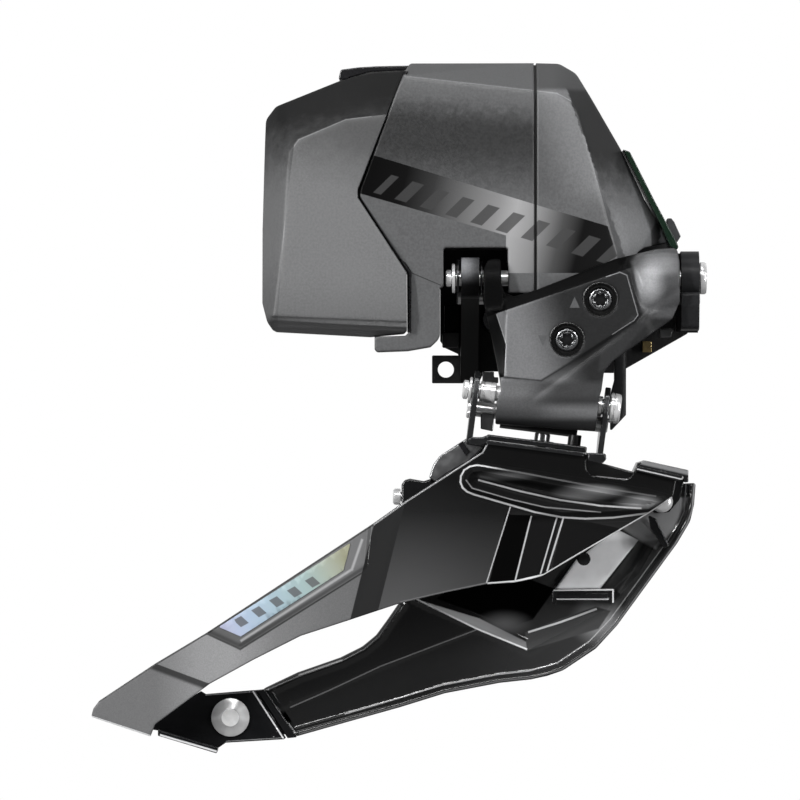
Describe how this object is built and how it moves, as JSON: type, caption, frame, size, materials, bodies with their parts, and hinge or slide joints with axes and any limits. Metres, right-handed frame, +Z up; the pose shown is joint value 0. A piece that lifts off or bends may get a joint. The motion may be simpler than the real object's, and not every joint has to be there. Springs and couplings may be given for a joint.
{
  "type": "electronic front derailleur",
  "caption": "Battery-powered front derailleur: motor housing with a clip-in battery, two-link linkage, limit screws and a two-plate chain cage with a tail bridge.",
  "frame": {"origin": "where the hanger bolt's axis meets the flat land of the saddle that seats on the bicycle's front derailleur hanger", "axes": "+X forward along the bicycle, +Z up, +Y inboard along the hanger bolt; the drive side faces -Y"},
  "size_m": [0.1025, 0.0436, 0.1154],
  "materials": {
    "painted_alloy": "satin black paint",
    "steel": "polished",
    "brass": "plain",
    "housing_plastic": "fine grain",
    "battery_plastic": "fine grain",
    "gasket_rubber": "matte",
    "motor_can": "satin",
    "circuit_board": "solder mask",
    "indicator_green": "tinted translucent look",
    "forged_alloy": "anodised black, fine grain",
    "cage_black": "gloss black",
    "badge_foil": "pale iridescent foil",
    "pad_plastic": "plain",
    "cell_foil": "foil pouch",
    "latch_plastic": "gloss",
    "button_plastic": "plain"
  },
  "bodies": {
    "mount_frame": {"mount_bracket": "painted_alloy", "mount_washer": "steel", "mount_bolt": "steel", "housing_screw_a": "steel", "housing_screw_b": "steel", "brass_stop": "brass", "motor_housing": "housing_plastic", "housing_cover": "housing_plastic", "housing_gasket": "gasket_rubber", "motor_case": "motor_can", "circuit_board": "circuit_board", "battery_contacts": "brass", "idler_shaft": "steel", "indicator_plate": "indicator_green", "latch_pin": "steel", "latch_spring": "steel", "upper_outer_pin": "steel", "upper_pin_washer": "steel", "upper_wave_washer": "steel", "upper_inner_pin": "steel", "link_shim": "steel"},
    "outer_link": {"outer_link": "forged_alloy"},
    "high_limit_screw": {"high_limit_screw": "steel"},
    "low_limit_screw": {"low_limit_screw": "steel"},
    "inner_link": {"inner_link": "painted_alloy", "drive_sector_gear": "steel"},
    "idler": {"idler_gear": "steel"},
    "motor_rotor": {"motor_pinion": "steel"},
    "cage": {"cage_yoke": "cage_black", "cage_outer_plate": "cage_black", "cage_badge": "badge_foil", "cage_inner_plate": "cage_black", "tail_bridge": "cage_black", "tail_rivet": "steel", "front_rivet": "steel", "chain_pad": "pad_plastic", "lower_outer_pin": "steel", "lower_pin_washer": "steel", "lower_pin_roller": "steel", "lower_pin_collar": "steel", "lower_inner_pin": "steel", "cage_screw": "steel", "cage_stop_screw": "steel", "cage_stop_post": "painted_alloy"},
    "battery": {"battery_shell": "battery_plastic", "battery_lid": "battery_plastic", "battery_cell_a": "cell_foil", "battery_cell_b": "cell_foil", "battery_terminals": "brass"},
    "latch": {"latch_lever": "latch_plastic"},
    "button": {"function_button": "button_plastic"}
  },
  "joints": [
    {"name": "outer_link_swing", "type": "hinge", "parent": "mount_frame", "child": "outer_link", "pos_m": [0, -0.031, 0.00667], "axis": [1, 0, 0], "range_deg": [0, 32]},
    {"name": "inner_link_swing", "type": "hinge", "parent": "mount_frame", "child": "inner_link", "pos_m": [0, -0.02, 0.00367], "axis": [1, 0, 0], "range_deg": [0, 32]},
    {"name": "cage_pivot", "type": "hinge", "parent": "outer_link", "child": "cage", "pos_m": [-0.00133, -0.0352, -0.0124], "axis": [0.9921, 0, -0.1253], "range_deg": [-32, 0]},
    {"name": "idler_spin", "type": "hinge", "parent": "mount_frame", "child": "idler", "pos_m": [0, -0.02, 0.01717], "axis": [1, 0, 0], "range_deg": [-128, 0]},
    {"name": "motor_spin", "type": "hinge", "parent": "mount_frame", "child": "motor_rotor", "pos_m": [0, -0.02, 0.02797], "axis": [1, 0, 0], "range_deg": [0, 384]},
    {"name": "high_limit_screw_turn", "type": "hinge", "parent": "outer_link", "child": "high_limit_screw", "pos_m": [0.01717, -0.03835, 0.00292], "axis": [0, -0.9928, -0.1197], "range_deg": [-180, 180]},
    {"name": "low_limit_screw_turn", "type": "hinge", "parent": "outer_link", "child": "low_limit_screw", "pos_m": [0.0116, -0.03916, -0.00377], "axis": [0, -0.9928, -0.1197], "range_deg": [-180, 180]},
    {"name": "battery_tilt", "type": "hinge", "parent": "mount_frame", "child": "battery", "pos_m": [-0.02033, -0.018, -0.00297], "axis": [0, -1, 0], "range_deg": [0, 20]},
    {"name": "latch_hinge", "type": "hinge", "parent": "mount_frame", "child": "latch", "pos_m": [-0.0137, -0.019, 0.041], "axis": [0, 1, 0], "range_deg": [0, 50]},
    {"name": "button_press", "type": "slide", "parent": "mount_frame", "child": "button", "axis": [-0.8886, 0, -0.4586], "range_m": [0, 0.0006], "stiffness_N_per_m": 400}
  ],
  "couplings": [
    {"joint": "inner_link_swing", "follows": "outer_link_swing", "ratio": 1},
    {"joint": "cage_pivot", "follows": "outer_link_swing", "ratio": -1},
    {"joint": "idler_spin", "follows": "outer_link_swing", "ratio": -4},
    {"joint": "motor_spin", "follows": "outer_link_swing", "ratio": 12},
    {"joint": "latch_hinge", "follows": "battery_tilt", "ratio": 2.5}
  ]
}
